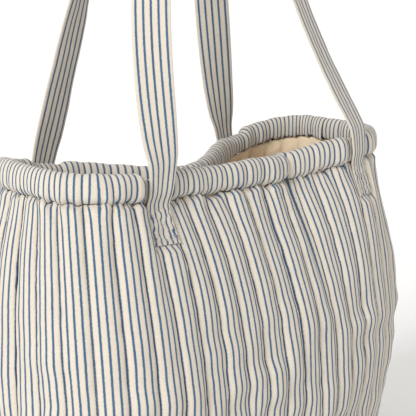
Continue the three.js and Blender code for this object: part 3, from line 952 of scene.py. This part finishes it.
class TOTE_OT_cover(bpy.types.Operator):
    """Build the striped cover's quilted front and back"""

    bl_idname = "tote.cover"
    bl_label = "Cover"

    def execute(self, context):
        sizes, colours = context.scene.tote_sizes, context.scene.tote_colours
        material = striped_cotton(colours, sizes)
        for side, side_name in SIDE_NAMES.items():
            move = crowded(sizes.channels)

            def place(u, t):
                share = move(u)
                v = 1 - (1 - t) ** TOP_CROWDING
                uv = np.stack([share * HALF_GIRTH, v * SEAM_HEIGHT], axis=-1)
                return cover_surface(side, share, v, sizes), uv

            mesh = grid_mesh(f"cover_{side_name}", sizes.channels * FINE_COLUMNS, COVER_ROWS, place,
                             reverse=side == BACK)
            piece = add_piece(f"quilted_cover_{side_name}", mesh, material, "root",
                              [f"cover_{side_name}"])
            give_thickness(piece, CLOTH)
        return {"FINISHED"}


class TOTE_OT_lining(bpy.types.Operator):
    """Build the beige quilted lining of the walls"""

    bl_idname = "tote.lining"
    bl_label = "Lining"

    def execute(self, context):
        sizes, colours = context.scene.tote_sizes, context.scene.tote_colours
        material = plain_cotton("Lining cotton", tuple(colours.lining), darker(colours.lining, 0.86))
        for side, side_name in SIDE_NAMES.items():

            def place(u, v):
                uv = np.stack([u * HALF_GIRTH, v * SEAM_HEIGHT], axis=-1)
                return lining_surface(side, u, v, sizes), uv

            mesh = grid_mesh(f"lining_{side_name}", sizes.channels * LINING_COLUMNS, LINING_ROWS, place,
                             reverse=side == FRONT)
            piece = add_piece(f"quilted_lining_{side_name}", mesh, material, "root",
                              [f"lining_{side_name}"])
            give_thickness(piece, CLOTH)
        return {"FINISHED"}


class TOTE_OT_wadding(bpy.types.Operator):
    """Build the padding between cover and lining and inside the hem"""

    bl_idname = "tote.wadding"
    bl_label = "Wadding"

    def execute(self, context):
        sizes = context.scene.tote_sizes
        material = wadding_material()
        for side, side_name in SIDE_NAMES.items():

            def place_wall(u, v):
                around = 2 * math.pi * v
                height = 0.5 - 0.5 * np.cos(around)
                inner = (v > 0.5)[:, None]
                share = np.clip(u, 0.002, 0.998)
                level = 0.012 + 0.976 * np.clip(height, 0, 1)
                outer_face = cover_surface(side, share, level, sizes, depth=CLOTH + LAYER_GAP)
                inner_face = lining_surface(side, share, level, sizes)
                inner_face = inner_face + wall_normal(side, share, level) * (CLOTH + LAYER_GAP)
                edge = np.abs(np.sin(around))[:, None] ** 0.5
                middle = (outer_face + inner_face) / 2
                face = np.where(inner, inner_face, outer_face)
                return middle + (face - middle) * edge, np.stack([share, level], axis=-1)

            mesh = grid_mesh(f"wadding_{side_name}", sizes.channels * HIDDEN_COLUMNS, COVER_ROWS, place_wall,
                             weld=WELD, cap=True)
            piece = add_piece(f"wadding_sheet_{side_name}", mesh, material, "root",
                              [f"wadding_{side_name}"])

            def place_roll(u, v):
                share = np.clip(u, 0.003, 0.997)
                turn = 0.09 + 0.82 * np.minimum(v, 1.0)
                face = hem_surface(side, share, turn, sizes, depth=CLOTH + 0.0006)
                return face, np.stack([share, v], axis=-1)

            mesh = grid_mesh(f"hem_roll_{side_name}", sizes.channels * HIDDEN_COLUMNS, ROLL_ROWS, place_roll,
                             reverse=side == BACK)
            close_roll(mesh)
            piece = add_piece(f"hem_roll_{side_name}", mesh, material, "root",
                              [f"hem_padding_{side_name}"])
        return {"FINISHED"}


def close_roll(mesh):
    """Closes a roll along its open underside and at its two ends."""
    bm = bmesh.new()
    bm.from_mesh(mesh)
    border = [edge for edge in bm.edges if edge.is_boundary]
    bmesh.ops.holes_fill(bm, edges=border, sides=0)
    bmesh.ops.triangulate(bm, faces=[face for face in bm.faces if len(face.verts) > 4])
    bmesh.ops.recalc_face_normals(bm, faces=bm.faces)
    bm.to_mesh(mesh)
    bm.free()


class TOTE_OT_hem(bpy.types.Operator):
    """Build the rolled hem round the mouth"""

    bl_idname = "tote.hem"
    bl_label = "Hem"

    def execute(self, context):
        sizes, colours = context.scene.tote_sizes, context.scene.tote_colours
        material = striped_cotton(colours, sizes)
        for side, side_name in SIDE_NAMES.items():

            def place(u, v):
                uv = np.stack([u * HALF_GIRTH, SEAM_HEIGHT + v * 0.08], axis=-1)
                return hem_surface(side, u, v, sizes), uv

            mesh = grid_mesh(f"hem_{side_name}", sizes.channels * FINE_COLUMNS, HEM_ROWS, place,
                             reverse=side == BACK)
            piece = add_piece(f"rolled_hem_{side_name}", mesh, material, "root",
                              [f"hem_{side_name}"])
            give_thickness(piece, CLOTH)
        return {"FINISHED"}


class TOTE_OT_base(bpy.types.Operator):
    """Build the bottom's cover, padding and lining"""

    bl_idname = "tote.base"
    bl_label = "Bottom"

    def execute(self, context):
        sizes, colours = context.scene.tote_sizes, context.scene.tote_colours
        inset = BASE_RADIUS * (1 - math.cos(ARC_ANGLE))
        layers = (
            ("quilted_base", "cover_base", striped_cotton(colours, sizes), "striped_cotton",
             inset, 0.0022, -0.0020, True),
            ("wadding_base_sheet", "wadding_base", wadding_material(), "wadding",
             inset + 0.004, 0.0050, 0.0, False),
            ("lining_base_sheet", "lining_base",
             plain_cotton("Lining cotton", tuple(colours.lining), darker(colours.lining, 0.86)),
             "lining_cotton", inset + 0.0035, 0.0086, 0.0022, False),
        )
        for name, replaced, material, slot, gap, level, puff, below in layers:
            mesh = disc_mesh(name, gap, level, puff, HALF_GIRTH / sizes.channels, below)
            piece = add_piece(name, mesh, material, "root", [replaced])
            give_thickness(piece, CLOTH)
        return {"FINISHED"}


def disc_mesh(name, inset, level, puff, pitch, below):
    """The bottom's rounded outline filled from its middle, with channels along X."""
    def place(u, v):
        side = np.where(u < 0.5, FRONT, BACK)
        turn = np.where(u < 0.5, 2 * u, 2 - 2 * u)
        angle = np.interp(turn, SHARES, ANGLES)
        x, y = outline(BASE_WIDTH / 2 - inset, BASE_DEPTH / 2 - inset, angle, side)
        radius = np.sqrt(v)
        x, y = x * radius, y * radius
        channel = y / pitch + 0.5
        part = channel - np.floor(channel)
        lift = puff * (4 * part * (1 - part)) ** 0.55 * (1 - smooth(0.90, 1.0, radius))
        return np.stack([x, y, level + lift], axis=-1), np.stack([y, x], axis=-1)

    return grid_mesh(name, BASE_COLUMNS, BASE_ROWS, place, reverse=not below, weld=WELD)


class TOTE_OT_straps(bpy.types.Operator):
    """Build the two shoulder straps with their sewn ends"""

    bl_idname = "tote.straps"
    bl_label = "Straps"

    def execute(self, context):
        sizes, colours = context.scene.tote_sizes, context.scene.tote_colours
        material = striped_cotton(colours, sizes)
        for side, side_name in SIDE_NAMES.items():
            mesh = strap_mesh(f"strap_{side_name}", side, sizes)
            replaced = [f"{side_name}_handle"]
            replaced += [f"strap_end_{side_name}_{end}" for end in ("left", "right")]
            piece = add_piece(f"shoulder_strap_{side_name}", mesh, material, None, replaced)
            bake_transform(piece)
        return {"FINISHED"}


class TOTE_OT_stitches(bpy.types.Operator):
    """Sew the hem, the strap ends and the quilting"""

    bl_idname = "tote.stitches"
    bl_label = "Stitches"

    def execute(self, context):
        sizes, colours = context.scene.tote_sizes, context.scene.tote_colours
        material = thread_material(colours)
        for side, side_name in SIDE_NAMES.items():
            shares = np.linspace(0.002, 0.998, 500)
            level = np.full_like(shares, 0.9955)
            path = cover_surface(side, shares, level, sizes)
            mesh = stitch_rows(f"hem_stitch_{side_name}", [(path, wall_normal(side, shares, level))],
                               sizes.stitch, sizes.thread)
            add_piece(f"hem_stitches_{side_name}", mesh, material, "root",
                      [f"hem_stitch_{side_name}"])
            rows = []
            for channel in range(1, sizes.channels):
                v = np.linspace(0.03, 0.985, 160)
                v = v[sewn_down(side, np.full_like(v, channel / sizes.channels), v) < 0.3]
                u = np.full_like(v, channel / sizes.channels)
                rows.append((cover_surface(side, u, v, sizes), wall_normal(side, u, v)))
            mesh = stitch_rows(f"quilting_{side_name}", rows, sizes.stitch, sizes.thread * 0.8)
            add_piece(f"quilting_stitches_{side_name}", mesh, material, "root")
            centre, across, face = strap_frames(side, sizes)
            for end_name, part in (("left", slice(0, 15)), ("right", slice(-15, None))):
                mesh = stitch_rows(f"box_{side_name}_{end_name}",
                                   box_rows(centre[part], across[part], face[part], side),
                                   sizes.stitch * 0.85, sizes.thread)
                add_piece(f"box_stitches_{side_name}_{end_name}", mesh, material, "root",
                          [f"box_stitch_{side_name}_{end_name}"])
        return {"FINISHED"}


def box_rows(centre, across, face, side):
    """A square and a cross of stitches over a strap's sewn end."""
    outward = face if (face[0][1] * side) > 0 else -face
    steps = np.linspace(0, 1, len(centre))

    def at(w, t):
        """Point at width w (-1 to 1) and length share t on the strap's outer face."""
        w, t = np.broadcast_arrays(np.asarray(w, float), np.asarray(t, float))
        pick = lambda frames: np.stack([np.interp(t, steps, frames[:, k]) for k in range(3)], axis=-1)
        aside = pick(across) * (w * STRAP_WIDTH * 0.40)[:, None]
        return pick(centre) + aside + pick(outward) * STRAP_THICKNESS * 0.5, pick(outward)

    line = np.linspace(0, 1, 24)
    low, high = 0.10, 0.88
    span = low + (high - low) * line
    return [
        at(-1, span), at(1, span), at(2 * line - 1, low), at(2 * line - 1, high),
        at(2 * line - 1, span), at(1 - 2 * line, span),
    ]


# ---------------------------------------------------------------- stage

FLOOR_SIZE = 60.0
SKY_STRENGTH = 0.78
KEY_DIRECTION = (-0.92, -0.16, 0.42)
KEY_STRENGTH = 2.5
KEY_SPREAD = 25
VIEW_AZIMUTH = math.radians(-52)
VIEW_ELEVATION = math.radians(9.5)
VIEW_ANGLE = math.radians(15.3)
VIEW_DISTANCE = 1.55
VIEW_ASIDE = 0.051
VIEW_BELOW = 0.004


class TOTE_OT_stage(bpy.types.Operator):
    """Set the floor, the light and the camera"""

    bl_idname = "tote.stage"
    bl_label = "Stage"

    def execute(self, context):
        scene = context.scene
        floor_mesh = bpy.data.meshes.new("floor")
        bm = bmesh.new()
        bmesh.ops.create_grid(bm, x_segments=2, y_segments=2, size=FLOOR_SIZE)
        bm.to_mesh(floor_mesh)
        bm.free()
        floor = bpy.data.objects.new("floor", floor_mesh)
        scene.collection.objects.link(floor)
        paint = bpy.data.materials.new("Pale floor")
        paint.use_nodes = True
        shader = paint.node_tree.nodes["Principled BSDF"]
        shader.inputs["Base Color"].default_value = (0.96, 0.96, 0.96, 1)
        shader.inputs["Roughness"].default_value = 0.9
        floor_mesh.materials.append(paint)
        world = bpy.data.worlds.new("Studio")
        scene.world = world
        world.use_nodes = True
        background = world.node_tree.nodes["Background"]
        background.inputs["Color"].default_value = (1.0, 0.985, 0.96, 1)
        background.inputs["Strength"].default_value = SKY_STRENGTH
        self.sun(scene, "key", KEY_DIRECTION, KEY_STRENGTH, KEY_SPREAD)
        self.camera(scene)
        scene.view_settings.view_transform = "Standard"
        return {"FINISHED"}

    def sun(self, scene, name, direction, strength, spread):
        """A soft light from a direction."""
        light = bpy.data.lights.new(name, "SUN")
        light.energy = strength
        light.angle = math.radians(spread)
        lamp = bpy.data.objects.new(name, light)
        lamp.rotation_euler = Vector(direction).to_track_quat("Z", "Y").to_euler()
        scene.collection.objects.link(lamp)

    def camera(self, scene):
        """Close view of the mouth from the bag's left front corner, a little above."""
        azimuth, elevation = VIEW_AZIMUTH, VIEW_ELEVATION
        towards = Vector((math.sin(azimuth) * math.cos(elevation), -math.cos(azimuth) * math.cos(elevation),
                          math.sin(elevation)))
        right = Vector((math.cos(azimuth), math.sin(azimuth), 0))
        up = towards.cross(right)
        share = np.array([LEG_SHARES[FRONT][0]])
        foot = Vector(wall_point(FRONT, share, np.ones(1))[0])
        lens = bpy.data.cameras.new("camera")
        lens.sensor_width = 36
        lens.angle = VIEW_ANGLE
        lens.clip_end = 200
        camera = bpy.data.objects.new("camera", lens)
        camera.location = foot + towards * VIEW_DISTANCE + right * VIEW_ASIDE - up * VIEW_BELOW
        camera.rotation_euler = (-towards).to_track_quat("-Z", "Y").to_euler()
        scene.collection.objects.link(camera)
        scene.camera = camera


# ---------------------------------------------------------------- panel and registration

OPERATORS = (
    TOTE_OT_stage,
    TOTE_OT_cover,
    TOTE_OT_lining,
    TOTE_OT_wadding,
    TOTE_OT_hem,
    TOTE_OT_base,
    TOTE_OT_straps,
    TOTE_OT_stitches,
)


class TOTE_PT_panel(bpy.types.Panel):
    """Lists the bag's sizes, colours and pieces"""

    bl_idname = "TOTE_PT_panel"
    bl_label = "Tote Bag"
    bl_space_type = "VIEW_3D"
    bl_region_type = "UI"
    bl_category = "Tote Bag"

    def draw(self, context):
        layout = self.layout
        for group in (context.scene.tote_sizes, context.scene.tote_colours):
            for name in group.__annotations__:
                layout.prop(group, name)
        for operator in OPERATORS:
            layout.operator(operator.bl_idname)


CLASSES = (ToteBagSizes, ToteBagColours, *OPERATORS, TOTE_PT_panel)


def register():
    for cls in CLASSES:
        bpy.utils.register_class(cls)
    bpy.types.Scene.tote_sizes = PointerProperty(type=ToteBagSizes)
    bpy.types.Scene.tote_colours = PointerProperty(type=ToteBagColours)


def unregister():
    del bpy.types.Scene.tote_colours
    del bpy.types.Scene.tote_sizes
    for cls in reversed(CLASSES):
        bpy.utils.unregister_class(cls)


def main():
    register()
    for operator in OPERATORS:
        group, name = operator.bl_idname.split(".")
        getattr(getattr(bpy.ops, group), name)()


if __name__ == "__main__":
    main()
